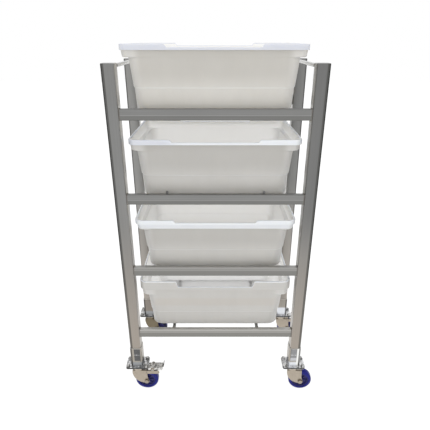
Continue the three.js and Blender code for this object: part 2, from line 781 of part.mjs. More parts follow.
// Lugs, each resting on its two rods
for (const level of levelNumbers) {
  const shape = isLowest(level) ? deepLug : standardLug;
  const lug = addPiece(cart, `lug_${level}`, makeLug(shape), lugPlastic);
  const setback = lugSetback * lugSetbackShares[level - 1];
  const shift = lugShift * lugShiftShares[level - 1];
  lug.position.set(-shift, setback, rodTop(level) + lugSeatGap);
}

// Casters: the turning pieces of each sit in a group on its swivel axis
for (const { corner, side, end, turn, brake } of casterPlaces) {
  const swivel = new THREE.Group();
  swivel.position.set(side * postOffsetX, end * postOffsetY, 0);
  swivel.rotation.z = THREE.MathUtils.degToRad(turn);
  cart.add(swivel);
  addPiece(swivel, `caster_fork_${corner}`, makeFork(brake), forkSteel);
  if (brake) addPiece(swivel, `brake_pedal_${corner}`, makeBrakePedal(), plateSteel);
  const wheelPieces = [
    [`wheel_tread_${corner}`, makeTread(), treadPlastic],
    [`wheel_hub_${corner}`, makeHub(), hubPlastic],
    [`axle_bolt_${corner}`, makeAxle(), boltSteel],
  ];
  for (const [name, geometry, material] of wheelPieces) {
    addPiece(swivel, name, geometry, material).position.set(casterTrail, 0, axleHeight);
  }
}

// The origin is on the floor, below the middle of the whole object's box
cart.updateMatrixWorld(true);
const span = new THREE.Box3().setFromObject(cart, true);
const middle = span.getCenter(new THREE.Vector3());
cart.position.set(-middle.x, -middle.y, -span.min.z);

export default cart;
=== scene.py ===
"""Looks of the lug cart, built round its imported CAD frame. Metres, +Z up, the front faces -Y."""

import math

import bpy
from mathutils import Matrix, Vector


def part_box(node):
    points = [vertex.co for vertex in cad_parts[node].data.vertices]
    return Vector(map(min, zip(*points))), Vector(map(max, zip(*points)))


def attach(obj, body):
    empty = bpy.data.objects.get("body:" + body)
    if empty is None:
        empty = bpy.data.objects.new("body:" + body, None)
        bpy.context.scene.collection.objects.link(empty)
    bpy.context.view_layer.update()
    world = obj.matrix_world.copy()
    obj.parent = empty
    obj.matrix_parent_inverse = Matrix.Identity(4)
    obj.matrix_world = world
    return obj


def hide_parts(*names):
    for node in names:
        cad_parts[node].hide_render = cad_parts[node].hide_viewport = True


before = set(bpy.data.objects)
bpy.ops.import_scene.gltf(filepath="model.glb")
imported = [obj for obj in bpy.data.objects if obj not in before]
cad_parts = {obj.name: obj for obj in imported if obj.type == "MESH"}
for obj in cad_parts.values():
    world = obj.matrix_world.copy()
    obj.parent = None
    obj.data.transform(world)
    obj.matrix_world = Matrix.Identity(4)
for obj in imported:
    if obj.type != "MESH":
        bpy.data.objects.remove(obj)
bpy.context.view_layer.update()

# Camera: it stands square to the cart's front, a little higher than the top lug, and looks
# down on it. Its lens and place come from the edges of the posts and bars in the photograph.
def placed(name, data):
    """A new object of the scene, with this mesh, lamp or lens."""
    item = bpy.data.objects.new(name, data)
    bpy.context.scene.collection.objects.link(item)
    return item


first_post_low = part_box("post_front_left")[0]
last_post_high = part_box("post_rear_right")[1]
frame_middle_x = (first_post_low.x + last_post_high.x) / 2
camera_aside, camera_distance, camera_height, camera_dip = -0.0019, 1.335, 1.438, 23.62
camera_lens = bpy.data.cameras.new("camera")
camera_lens.sensor_width = 36
camera_lens.lens = 33.58
camera_lens.clip_end = 50
camera = placed("camera", camera_lens)
camera.location = (frame_middle_x + camera_aside, first_post_low.y - camera_distance,
                   camera_height)
camera.rotation_euler = (math.radians(90 - camera_dip), 0, 0)
bpy.context.scene.camera = camera
bpy.context.scene.view_settings.view_transform = "Standard"


# Floor and air: a plain white sweep. What the camera, bare metal and clear plastic see of it
# is white by itself, and the floor still takes the cart's shadow.
class Wire:
    """A socket of a finish. Sums and products of it add Math nodes."""

    def __init__(self, finish, socket):
        self.finish, self.socket = finish, socket

    def math(self, operation, *terms):
        terms = dict(enumerate((self, *terms)))
        return self.finish.add("ShaderNodeMath", {"operation": operation}, terms)

    def __add__(self, other):
        return self.math("ADD", other)

    def __sub__(self, other):
        return self.math("SUBTRACT", other)

    def __rsub__(self, other):
        return self.math("MULTIPLY", -1).math("ADD", other)

    def __mul__(self, other):
        return self.math("MULTIPLY", other)

    __radd__ = __add__
    __rmul__ = __mul__


class Finish:
    """The node tree of a material or world. add() makes any node and returns its output."""

    def __init__(self, owner):
        owner.use_nodes = True
        self.owner, self.tree = owner, owner.node_tree
        self.tree.nodes.clear()

    def add(self, kind, settings=(), inputs=(), output=0):
        node = self.tree.nodes.new(kind)
        for name, value in dict(settings).items():
            setattr(node, name, value)
        for name, value in dict(inputs).items():
            self.feed(node.inputs[name], value)
        return Wire(self, node.outputs[output]) if node.outputs else node

    def feed(self, socket, value):
        if isinstance(value, Wire):
            self.tree.links.new(value.socket, socket)
        else:
            socket.default_value = value

    def mix(self, share, first, second):
        """A colour between two colours."""
        colours = {0: share, 6: first, 7: second}
        return self.add("ShaderNodeMix", {"data_type": "RGBA"}, colours, 2)

    def tone(self, share, dark, light, seam=None):
        """A colour between dark and light, with the tones that seam lays over it."""
        colour = self.mix(share, (*dark, 1), (*light, 1))
        return seam(self, colour) if seam else colour

    def shader(self, inputs, strength, depth, height):
        """Ends the material: one shader, with a bump this strong and deep."""
        bump = self.add("ShaderNodeBump", inputs={
            "Strength": strength, "Distance": depth, "Height": height})
        shader = self.add("ShaderNodeBsdfPrincipled", inputs={**inputs, "Normal": bump})
        self.add("ShaderNodeOutputMaterial", inputs={"Surface": shader})
        return self.owner

    def axis(self, name):
        """One coordinate of the place on the piece, in metres of the cart's frame."""
        at = self.add("ShaderNodeTexCoord", output="Object")
        return self.add("ShaderNodeSeparateXYZ", inputs={0: at}, output=name)

    def noise(self, stretch, detail=2.0, rough=0.5):
        """Cloudy noise from 0 to 1, with so many clouds to a metre along each axis."""
        at = self.add("ShaderNodeTexCoord", output="Object")
        at = self.add("ShaderNodeVectorMath", {"operation": "MULTIPLY"}, {0: at, 1: stretch})
        inputs = {"Vector": at, "Scale": 1.0, "Detail": detail, "Roughness": rough}
        return self.add("ShaderNodeTexNoise", inputs=inputs)

    def step(self, value, start, end):
        """0 before start and 1 after end, with a soft rise between them."""
        inputs = {"Value": value, "From Min": start, "From Max": end}
        return self.add("ShaderNodeMapRange", {"interpolation_type": "SMOOTHSTEP"}, inputs)

    def sight(self):
        """1 for what the camera, a mirror or clear plastic looks at, otherwise 0."""
        rays = [self.add("ShaderNodeLightPath", output=f"Is {kind} Ray")
                for kind in ("Camera", "Glossy", "Transmission")]
        return rays[0].math("MAXIMUM", rays[1]).math("MAXIMUM", rays[2])


def card(name, points, finish):
    """A flat sheet with four corners."""
    mesh = bpy.data.meshes.new(name)
    mesh.from_pydata(points, [], [(0, 1, 2, 3)])
    mesh.materials.append(finish.owner)
    return placed(name, mesh)


air_level = 0.95
air = Finish(bpy.data.worlds.new("white_air"))
air.add("ShaderNodeOutputWorld", inputs={"Surface": air.add("ShaderNodeBackground", inputs={
    "Color": (1, 1, 1, 1), "Strength": air.sight() * (1 - air_level) + air_level})})
bpy.context.scene.world = air.owner

floor_self_share, floor_brightness = 0.75, 1.2
floor_finish = Finish(bpy.data.materials.new("white_floor"))
floor_lit = floor_finish.add("ShaderNodeBsdfDiffuse", inputs={"Color": (0.86, 0.86, 0.86, 1)})
floor_glow = floor_finish.add("ShaderNodeEmission", inputs={
    "Color": (1, 1, 1, 1), "Strength": floor_brightness})
floor_finish.add("ShaderNodeOutputMaterial", inputs={
    "Surface": floor_finish.add("ShaderNodeMixShader", inputs={
        0: floor_finish.sight() * floor_self_share, 1: floor_lit, 2: floor_glow})})
floor_size = 14
floor = card("floor", [(x * floor_size, y * floor_size, 0) for x, y in (
    (-1, -1), (1, -1), (1, 1), (-1, 1))], floor_finish)


# Lamps: one large soft lamp over the front of the cart, a second behind it, and two low ones
# at the sides. They are wide, so that the steel shows no hard spots.
def soft_lamp(name, place, aim, width, height, watts):
    lamp = bpy.data.lights.new(name, "AREA")
    lamp.shape, lamp.size, lamp.size_y, lamp.energy = "RECTANGLE", width, height, watts
    holder = placed(name, lamp)
    holder.location = place
    holder.rotation_euler = (Vector(aim) - Vector(place)).to_track_quat("-Z", "Y").to_euler()
    holder.visible_glossy = False


soft_lamp("lamp_over_front", (0, -1.6, 3.2), (0, 0, 0.9), 3.0, 2.0, 7)
soft_lamp("lamp_over_rear", (0, 1.8, 3.0), (0, 0, 0.9), 3.0, 1.6, 4)
soft_lamp("lamp_left", (-2.6, -1.0, 1.3), (0, 0, 0.7), 1.4, 2.0, 4)
soft_lamp("lamp_right", (2.6, -1.0, 1.3), (0, 0, 0.7), 1.4, 2.0, 4)


# Flags: tall black cards on both sides of the cart, as in a photographer's studio. Only
# polished and brushed metal sees them, as a dark line along the outer corners of the posts.
flag_finish = Finish(bpy.data.materials.new("black_card"))
flag_finish.add("ShaderNodeOutputMaterial", inputs={
    "Surface": flag_finish.add("ShaderNodeBsdfDiffuse", inputs={"Color": (0.3, 0.3, 0.3, 1)})})
flag_distance = 1.1
for name, side in (("flag_left", -1), ("flag_right", 1)):
    flag_x = frame_middle_x + side * flag_distance
    flag = card(name, [(flag_x, y, z) for y, z in (
        (-0.9, 0.02), (1.2, 0.02), (1.2, 2.2), (-0.9, 2.2))], flag_finish)
    for ray in ("camera", "diffuse", "transmission", "volume_scatter", "shadow"):
        setattr(flag, f"visible_{ray}", False)


# Posts: four square tubes of stainless steel, rounded at the corners and brushed along their
# length. They are cut to one length and stand in the feet.
def ring(half_x, half_y, radius, z, steps=8, middle=(0, 0)):
    """A rounded rectangle at height z, anticlockwise."""
    points = []
    for quarter, (side_x, side_y) in enumerate(((1, 1), (-1, 1), (-1, -1), (1, -1))):
        for step in range(steps + 1):
            turn = (quarter + step / steps) * math.pi / 2
            points.append((middle[0] + side_x * (half_x - radius) + radius * math.cos(turn),
                           middle[1] + side_y * (half_y - radius) + radius * math.sin(turn), z))
    return points


def skin(rings, looped=False):
    """A solid over rings with as many points each: capped at its ends, or closed in itself."""
    count, total = len(rings[0]), len(rings)
    points = [point for ring_points in rings for point in ring_points]
    faces = []
    for here in range(total if looped else total - 1):
        start, after = here * count, (here + 1) % total * count
        for step in range(count):
            beside = (step + 1) % count
            faces.append((start + step, start + beside, after + beside, after + step))
    if not looped:
        faces.append(tuple(reversed(range(count))))
        faces.append(tuple(range((total - 1) * count, total * count)))
    return points, faces


def tube(half_x, half_y, corner, wall, ends, steps=8, middle=(0, 0)):
    """An upright square tube with rounded corners, open at both ends."""
    outside = [ring(half_x, half_y, corner, z, steps, middle) for z in ends]
    bore = [ring(half_x - wall, half_y - wall, corner - wall, z, steps, middle)
            for z in reversed(ends)]
    return skin(outside + bore, looped=True)


class Form:
    """The points and faces of one piece, gathered from its solids."""

    def __init__(self):
        self.points, self.faces, self.coats = [], [], []

    def add(self, solid, matrix=None, coats=0):
        """coats says which of the piece's finishes the faces have: one number, or one each."""
        points, faces = solid
        start = len(self.points)
        self.points += [matrix @ Vector(point) if matrix else Vector(point) for point in points]
        self.faces += [[start + corner for corner in face] for face in faces]
        self.coats += coats if isinstance(coats, list) else [coats] * len(faces)
        return self

    def piece(self, name, body, slot, finishes, stands_for=(), bevel=0, sharp=38):
        """Makes the piece, smooth but for its edges, and sets it on its body."""
        mesh = bpy.data.meshes.new(name)
        mesh.from_pydata(self.points, [], self.faces)
        for finish in finishes if isinstance(finishes, list) else [finishes]:
            mesh.materials.append(finish)
        mesh.polygons.foreach_set("material_index", self.coats)
        mesh.shade_smooth()
        mesh.set_sharp_from_angle(angle=math.radians(sharp))
        piece = placed(name, mesh)
        if bevel:
            rounding = piece.modifiers.new("rounded_edges", "BEVEL")
            rounding.width, rounding.segments = bevel, 2
            rounding.angle_limit = math.radians(sharp)
            rounding.harden_normals = True
        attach(piece, body)
        if stands_for:
            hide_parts(*stands_for)
        return piece


def brushed_steel(name, dark, light, along, gloss=0.3, seam=None):
    """Brushed stainless steel with its grain along one axis: 0, 1 or 2 for X, Y or Z."""
    finish = Finish(bpy.data.materials.new(name))

    def across(fine, long):
        return [long if axis == along else fine for axis in range(3)]

    grain = finish.noise(across(1100, 9), 3)
    streaks = finish.noise(across(170, 1.6), 2)
    clouds = finish.noise(across(14, 5), 2)
    share = grain * 0.5 + streaks * 0.55 + clouds * 0.45 - 0.25
    return finish.shader({
        "Base Color": finish.tone(share, dark, light, seam), "Metallic": 1.0,
        "Roughness": grain * 0.16 + (gloss - 0.06)}, 0.12, 0.0003, grain + streaks)


def facing_front(finish):
    """1 on the faces and rounded corners that look to the front, and 0 on all others."""
    normal = finish.add("ShaderNodeNewGeometry", output="Normal")
    backward = finish.add("ShaderNodeSeparateXYZ", inputs={0: normal}, output="Y")
    return 1 - finish.step(backward, -0.35, -0.05)


def painted_post_light(finish, colour):
    """Painted reflection and shade: warmer lower down, front posts dark along the outer edge, and
    all posts light along the inner one. The front right post is darker above, the rear posts
    lighter."""
    low = finish.step(finish.axis("Z"), 0.95, 0.2)
    colour = finish.mix(low, colour, finish.mix(0.5, colour, (0.5, 0.42, 0.34, 1)))
    from_middle = (finish.axis("X") - frame_middle_x).math("ABSOLUTE")
    outer = finish.step(from_middle, outer_post_edge - 0.0125, outer_post_edge - 0.0095)
    inner = 1 - finish.step(from_middle, outer_post_edge - 0.0445, outer_post_edge - 0.041)
    upper_left = finish.step(finish.axis("X"), 0.1, 0) * finish.step(finish.axis("Z"), 0.65, 0.8)
    front = 1 - finish.step(finish.axis("Y"), -0.05, 0.05)
    right = finish.step(finish.axis("X"), 0, 0.1) * finish.step(finish.axis("Z"), 0.65, 0.88)
    forward = facing_front(finish)
    colour = finish.mix(forward * right * front * 0.38, colour, (0.1, 0.1, 0.1, 1))
    colour = finish.mix((1 - front) * (1 - right) * 0.25, colour, (0.5, 0.49, 0.47, 1))
    colour = finish.mix(forward * outer * front * 0.75, colour, (0.08, 0.08, 0.075, 1))
    return finish.mix(inner * (upper_left * 0.45 + 0.35), colour, (0.62, 0.61, 0.58, 1))


corners = ("front_left", "front_right", "rear_left", "rear_right")
stands = {}
outer_post_edge = last_post_high.x - frame_middle_x
post_steel = brushed_steel("brushed_post", (0.205, 0.205, 0.2), (0.285, 0.285, 0.28), 2,
                           seam=painted_post_light)
post_wall, post_corner = 0.002, 0.007
for corner in corners:
    low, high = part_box(f"post_{corner}")
    middle, half = (low + high) / 2, (high.x - low.x) / 2
    stands[corner] = Matrix.Translation((middle.x, middle.y, 0))
    Form().add(tube(half, half, post_corner, post_wall, (low.z, high.z), middle=middle)).piece(
        f"square_tube_{corner}", "frame", "brushed_steel_post", post_steel, [f"post_{corner}"])


# Caps: a pressed steel lid on the upper end of each post, rounded at its rim, with a spigot
# that grips inside the tube.
rim, cap_edge, spigot_gap, spigot_corner = 0.002, 0.003, 0.0025, 0.0045
for corner in corners:
    low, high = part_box(f"post_cap_{corner}")
    middle, half = (low + high) / 2, (high.x - low.x) / 2
    under = high.z - cap_edge
    spigot = half - spigot_gap
    rings = [ring(spigot, spigot, spigot_corner, z, middle=middle) for z in (low.z, under)]
    rings.append(ring(half, half, post_corner, under, middle=middle))
    for step in range(7):
        turn = step / 6 * math.pi / 2
        inset = rim * (1 - math.cos(turn))
        rings.append(ring(half - inset, half - inset, post_corner - inset,
                          high.z - rim * (1 - math.sin(turn)), middle=middle))
    Form().add(skin(rings)).piece(
        f"lid_{corner}", "frame", "brushed_steel_post", post_steel, [f"post_cap_{corner}"])


# Crossbars: rectangular tubes between the posts, a front and a rear one on each level. Each
# face is brushed along the bar; the lower part of the front face is darker, a painted reflection.
levels = (1, 2, 3, 4)
level_pitch, lowest_bar = 0.3, 0.311


def painted_bar_reflection(finish, colour):
    """Painted reflection: a darker lower band with a thin light line over it. The low bars are
    lighter and have a light edge.
    """
    height = (finish.axis("Z") - (lowest_bar - level_pitch / 2)).math(
        "FLOORED_MODULO", level_pitch) - level_pitch / 2
    band = height - finish.step(finish.axis("Z"), 0.85, 0.65) * 0.0075
    lower = 1 - finish.step(band, -0.0035, -0.0022)
    line = finish.step(band, -0.0036, -0.0028) * (1 - finish.step(band, -0.0016, -0.0008))
    upper = finish.step(height, 0.0156, 0.0166)
    low = finish.step(finish.axis("Z"), 0.95, 0.35)
    colour = finish.mix(low * 0.45, colour, (0.46, 0.44, 0.4, 1))
    colour = finish.mix(upper * low * 0.5, colour, (0.8, 0.79, 0.77, 1))
    colour = finish.mix(lower * 0.45, colour, (0.14, 0.14, 0.13, 1))
    return finish.mix(line * 0.3, colour, (0.5, 0.5, 0.49, 1))


bar_steel = brushed_steel("brushed_bar", (0.2, 0.2, 0.195), (0.29, 0.29, 0.285), 0,
                          seam=painted_bar_reflection)
bar_wall, bar_corner = 0.0015, 0.0035
stand_along_x = Matrix(((0, 0, 1, 0), (1, 0, 0, 0), (0, 1, 0, 0), (0, 0, 0, 1)))
for level in levels:
    for end in ("front", "rear"):
        low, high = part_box(f"crossbar_{end}_{level}")
        middle, half = (low + high) / 2, (high - low) / 2
        Form().add(tube(half.y, half.z, bar_corner, bar_wall, (-half.x, half.x), 6),
                   Matrix.Translation(middle) @ stand_along_x).piece(
            f"box_tube_{end}_{level}", "frame", "brushed_steel_bar", bar_steel,
            [f"crossbar_{end}_{level}"])


# Rods: round steel bars. Two plainly drawn ones run under each lug, from the front crossbar to
# the rear one, and a polished one joins the tops of the posts on each side.
def turned(profile, sides=32, looped=False):
    """A solid turned about Z from pairs of radius and height: with flat ends, or with a bore."""
    return skin([[(radius * math.cos(side / sides * math.tau),
                   radius * math.sin(side / sides * math.tau), z) for side in range(sides)]
                 for radius, z in profile], looped)


rod_steel = brushed_steel("polished_rod", (0.55, 0.55, 0.54), (0.75, 0.75, 0.74), 1, gloss=0.25)
support_steel = brushed_steel("drawn_rod", (0.26, 0.26, 0.25), (0.36, 0.36, 0.35), 1, gloss=0.4)
stand_along_y = Matrix(((1, 0, 0, 0), (0, 0, 1, 0), (0, -1, 0, 0), (0, 0, 0, 1)))
rod_names = [f"support_rod_{level}_{side}" for level in levels for side in ("left", "right")]
for name in rod_names + ["top_rod_left", "top_rod_right"]:
    low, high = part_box(name)
    half, radius = (high.y - low.y) / 2, (high.z - low.z) / 2
    Form().add(turned([(radius, -half), (radius, half)]),
               Matrix.Translation((low + high) / 2) @ stand_along_y).piece(
        f"round_{name}", "frame", "polished_rod",
        support_steel if name in rod_names else rod_steel, [name])


# Stop studs: two short pins with domed tips on the second front crossbar, which keep the lug
# above it from sliding forward.
stud_steel = brushed_steel("turned_stud", (0.12, 0.12, 0.12), (0.3, 0.3, 0.3), 2)
for side in ("left", "right"):
    low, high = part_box(f"stop_stud_{side}")
    radius, height, dome = (high.x - low.x) / 2, high.z - low.z, 0.002
    profile = [(radius, 0), (radius, height - dome)]
    for step in range(1, 6):
        turn = step / 6 * math.pi / 2
        profile.append((radius - dome * (1 - math.cos(turn)),
                        height - dome * (1 - math.sin(turn))))
    foot_of_stud = ((low.x + high.x) / 2, (low.y + high.y) / 2, low.z)
    Form().add(turned(profile, 24), Matrix.Translation(foot_of_stud)).piece(
        f"domed_stud_{side}", "frame", "polished_rod", stud_steel, [f"stop_stud_{side}"])


# Welds: a small rippled bead runs round every end of a bar or rod where it meets the steel.
# The beads are left as laid and slightly blue-brown from the heat.
def bead(path, radius, sides=7):
    """A thin rippled rope of metal along a closed path of points."""
    rings = []
    for here, point in enumerate(path):
        ahead = Vector(path[(here + 1) % len(path)]) - Vector(path[here - 1])
        first = ahead.cross(Vector((0.3, 0.5, 0.8))).normalized()
        second = ahead.cross(first).normalized()
        swell = radius * (1 + ripple * math.cos(here * ripple_turn))
        rings.append([Vector(point) + swell * (
            math.cos(side / sides * math.tau) * first + math.sin(side / sides * math.tau) * second)
            for side in range(sides)])
    return skin(rings, looped=True)


def along_ring(points, spacing=0.0009):
    """Points close together along a closed outline."""
    path = []
    for start, end in zip(points, points[1:] + points[:1]):
        start, end = Vector(start), Vector(end)
        count = max(1, round((end - start).length / spacing))
        path += [start.lerp(end, step / count) for step in range(count)]
    return path


weld_steel = brushed_steel("weld_bead", (0.2, 0.18, 0.16), (0.36, 0.34, 0.32), 2, gloss=0.38)
bead_radius, bead_steps, ripple, ripple_turn = 0.0016, 44, 0.12, 2.1


def rod_beads(form, rod, sunk=0):
    """Lays a bead round each end of a rod, sunk into its surface."""
    low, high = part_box(rod)
    middle, radius = (low + high) / 2, (high.z - low.z) / 2 - sunk
    for y, lean in ((low.y, bead_radius / 2), (high.y, -bead_radius / 2)):
        form.add(bead([(middle.x + radius * math.cos(step / bead_steps * math.tau), y + lean,
                        middle.z + radius * math.sin(step / bead_steps * math.tau))
                       for step in range(bead_steps)], bead_radius))


for level in levels:
    welds = Form()
    for end in ("front", "rear"):
        low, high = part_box(f"crossbar_{end}_{level}")
        middle, half = (low + high) / 2, (high - low) / 2
        outline = along_ring(ring(half.y, half.z, bar_corner, 0, 3))
        for x, lean in ((low.x, bead_radius / 3), (high.x, -bead_radius / 3)):
            welds.add(bead([(x + lean, middle.y + y, middle.z + z) for y, z, _ in outline],
                           bead_radius))
    for side in ("left", "right"):
        rod_beads(welds, f"support_rod_{level}_{side}")
    welds.piece(f"welds_{level}", "frame", "brushed_steel_bar", weld_steel)
top_welds = Form()
for side in ("left", "right"):
    rod_beads(top_welds, f"top_rod_{side}", bead_radius / 4)
top_welds.piece("welds_top", "frame", "polished_rod", weld_steel)


# Feet: a polished flange with a sleeve that holds the post. The sleeve's outer face has a
# dark sunken panel with fine ribs across it, in two blocks.
def carved(solid, cutters):
    """The solid with the cutters taken out of it."""
    blanks = []
    for points, faces in (solid, *cutters):
        mesh = bpy.data.meshes.new("blank")
        mesh.from_pydata([Vector(point) for point in points], [], faces)
        blanks.append(placed("blank", mesh))
    for cutter in blanks[1:]:
        cut = blanks[0].modifiers.new("cut", "BOOLEAN")
        cut.operation, cut.solver, cut.object = "DIFFERENCE", "EXACT", cutter
    result = blanks[0].evaluated_get(bpy.context.evaluated_depsgraph_get()).to_mesh()
    carving = ([point.co.copy() for point in result.vertices],
               [tuple(face.vertices) for face in result.polygons])
    for blank in blanks:
        bpy.data.objects.remove(blank)
    return carving


def block(low, high):
    """A box from its lowest to its highest corner."""
    return skin([[(low[0], low[1], z), (high[0], low[1], z), (high[0], high[1], z),
                  (low[0], high[1], z)] for z in (low[2], high[2])])


def polished_steel(name, dark, light, gloss, seam=None):
    """Polished or plated steel with soft bright and dark patches and small scratches."""
    finish = Finish(bpy.data.materials.new(name))
    smears = finish.noise((45, 45, 60), 3)
    patches = finish.step(finish.noise((95, 70, 140), 2), 0.4, 0.6)
    scratches = finish.noise((900, 240, 700), 4, 0.6)
    share = patches * 0.7 + scratches * 0.4 - 0.05
    return finish.shader({
        "Base Color": finish.tone(share, dark, light, seam), "Metallic": 1.0,
        "Roughness": smears * 0.14 + scratches * 0.08 + (gloss - 0.1)},
        0.12, 0.0004, smears + scratches * 0.4)


caster_height, flange_thickness, flange_corner = 0.134, 0.004, 0.009
sleeve_height, sleeve_wall, sleeve_corner, sleeve_room = 0.097, 0.002, 0.008, 0.0003
flange_top = caster_height + flange_thickness
sleeve_top = flange_top + sleeve_height
panel_half, panel_depth, panel_shift = 0.013, 0.0012, 0.005
panel_top, panel_low = sleeve_top - 0.003, sleeve_top - 0.067
rib_count, middle_rib, rib_half, rib_sunk = 11, 5, 0.0014, 0.0003


def on_right(finish):
    """1 on the right half of the cart and 0 on the left half."""
    return finish.step(finish.axis("X"), 0, 0.01)


def painted_sleeve_light(finish, colour):
    """Painted reflection and shade: dark along the outer edges, a highlight along the rim, and
    brownish shade at the rear left. The right feet are bright near the flange, the front right also
    by its panel."""
    from_middle = (finish.axis("X") - frame_middle_x).math("ABSOLUTE")
    right = on_right(finish)
    rear = finish.step(finish.axis("Y"), 0, 0.01)
    low = 1 - finish.step(finish.axis("Z") - rear * right * 0.022, 0.157, 0.167)
    panel_edge = outer_post_edge - 0.0145
    bright = finish.step(from_middle, panel_edge, panel_edge + 0.001)
    outer = finish.step(from_middle, outer_post_edge - 0.007, outer_post_edge - 0.006)
    colour = finish.mix(rear * (1 - right) * 0.5, colour, (0.16, 0.13, 0.11, 1))
    colour = finish.mix(low, colour, finish.mix(right, (0.32, 0.33, 0.34, 1),
                                                (0.78, 0.8, 0.84, 1)))
    colour = finish.mix(bright * right * (1 - rear), colour, (0.92, 0.92, 0.9, 1))
    colour = finish.mix(outer * facing_front(finish) * 0.8, colour, (0.06, 0.055, 0.05, 1))
    top = finish.step(finish.axis("Z"), sleeve_top - 0.0012, sleeve_top - 0.0004)
    return finish.mix(top, colour, (0.95, 0.95, 0.93, 1))


def painted_right_light(finish, colour):
    """Painted reflection: the right feet's panels are lighter than the left ones, bright in their
    low part.
    """
    right = on_right(finish)
    low = 1 - finish.step(finish.axis("Z"), panel_low + 0.014, panel_low + 0.018)
    colour = finish.mix(right * 0.35, colour, (0.7, 0.7, 0.72, 1))
    return finish.mix(right * low * 0.5, colour, (0.9, 0.91, 0.95, 1))


def painted_joint_shadow_and_light(finish, colour):
    """Painted shadow: the edges along the joint of flange and plate are nearly black. Painted
    light:
    the feet and plates on the right are lighter."""
    height = finish.axis("Z")
    gap = finish.step(height, 0.1318, 0.1324) * (1 - finish.step(height, 0.1372, 0.1379))
    colour = finish.mix(on_right(finish) * 0.3, colour, (0.93, 0.93, 0.95, 1))
    return finish.mix(gap, colour, (0.015, 0.015, 0.015, 1))


sleeve_steel = brushed_steel("brushed_sleeve", (0.33, 0.3, 0.26), (0.46, 0.43, 0.38), 2,
                             seam=painted_sleeve_light)
foot_steel = polished_steel("polished_foot", (0.2, 0.2, 0.2), (0.85, 0.85, 0.86), 0.2,
                            seam=painted_joint_shadow_and_light)
panel_finish = brushed_steel("dark_recess", (0.04, 0.04, 0.04), (0.09, 0.09, 0.09), 0, gloss=0.4,
                             seam=painted_right_light)
rib_finish = brushed_steel("rib_steel", (0.17, 0.17, 0.17), (0.3, 0.3, 0.3), 0, gloss=0.35,
                           seam=painted_right_light)
for corner in corners:
    foot_low, foot_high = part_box(f"foot_{corner}")
    post_low, post_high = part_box(f"post_{corner}")
    stand = stands[corner] @ Matrix.Rotation(0 if "front" in corner else math.pi, 4, "Z")
    half = (post_high.x - post_low.x) / 2 + sleeve_wall + sleeve_room
    flange_half_x, flange_half_y = (foot_high.x - foot_low.x) / 2, (foot_high.y - foot_low.y) / 2
    sleeve = tube(half, half, sleeve_corner, sleeve_wall, (flange_top, sleeve_top))
    shift = panel_shift * (1 if corner in ("front_left", "rear_right") else -1)
    panel_left, panel_right = shift - panel_half, shift + panel_half
    panel_back = -half + panel_depth
    window = block((panel_left, -half - 0.004, panel_low), (panel_right, panel_back, panel_top))
    foot = Form().add(carved(sleeve, [window]), stand)
    foot.add(skin([ring(flange_half_x, flange_half_y, flange_corner, z) for z in (
        caster_height, flange_top)]), stand, 1)
    foot.add(bead(along_ring(ring(half, half, sleeve_corner, flange_top + 0.0004, 4)), 0.0015),
             stand, 1)
    foot.piece(f"foot_{corner}_sleeve", "frame", "polished_foot", [sleeve_steel, foot_steel],
               [f"foot_{corner}"], bevel=0.0005)
    ribs = Form().add(block((panel_left, panel_back - rib_sunk, panel_low),
                            (panel_right, panel_back, panel_top)), stand)
    for rib in range(rib_count):
        rib_z = panel_top - (rib + 0.5) * (panel_top - panel_low) / rib_count
        ribs.add(block((panel_left, -half + rib_sunk, rib_z - rib_half),
                       (panel_right, panel_back, rib_z + rib_half)), stand,
                 2 if rib == middle_rib else 1)
    ribs.piece(f"foot_{corner}_ribs", "frame", "polished_foot",
               [panel_finish, rib_finish, foot_steel], bevel=0.0004)


# Caster plates: the plated top plate of each caster, with its swivel race and kingpin below,
# and four studs with washers and nuts that clamp it to the foot's flange.
plate_steel = polished_steel("plated_steel", (0.2, 0.2, 0.195), (0.86, 0.85, 0.83), 0.2,
                             seam=painted_joint_shadow_and_light)
plate_half_x, plate_half_y, plate_bottom, race_bottom = 0.048, 0.034, 0.1305, 0.1215
plate_top = caster_height - 0.0001
bolt_x, bolt_y, nut_radius, thread_radius = 0.038, 0.023, 0.0075, 0.004
bolt_places = [(x * bolt_x, y * bolt_y) for x, y in ((1, 1), (-1, 1), (-1, -1), (1, -1))]
nut_bottom, nut_top = flange_top + 0.0015, flange_top + 0.008
thread_bottom, thread_top = flange_top + 0.006, flange_top + 0.011
race_profile = [(0.021, race_bottom), (0.0242, race_bottom + 0.0006),
                (0.0256, race_bottom + 0.002), (0.026, race_bottom + 0.004),
                (0.026, plate_bottom + 0.0004)]
kingpin_profile = [(0.006, 0.1005), (0.0105, 0.1005), (0.011, 0.101), (0.011, 0.1045),
                   (0.006, 0.1045), (0.006, plate_bottom)]
washer_profile = [(0.0085, flange_top), (0.0085, flange_top + 0.0012), (0.0082, nut_bottom),
                  (0.0045, nut_bottom)]


def hexagon(radius, low, high, chamfer=0.0008):
    """A nut or bolt head, chamfered at both ends."""
    return turned([(radius - chamfer, low), (radius, low + chamfer), (radius, high - chamfer),
                   (radius - chamfer, high)], 6)


def threaded(radius, low, high, pitch=0.00125):
    """A threaded end, with rings for its thread."""
    profile, z = [(radius * 0.86, low)], low
    while z + pitch < high:
        profile += [(radius * 0.88, z + pitch * 0.1), (radius, z + pitch * 0.5)]
        z += pitch
    return turned(profile + [(radius * 0.88, high - 0.0004), (radius * 0.76, high)], 20)


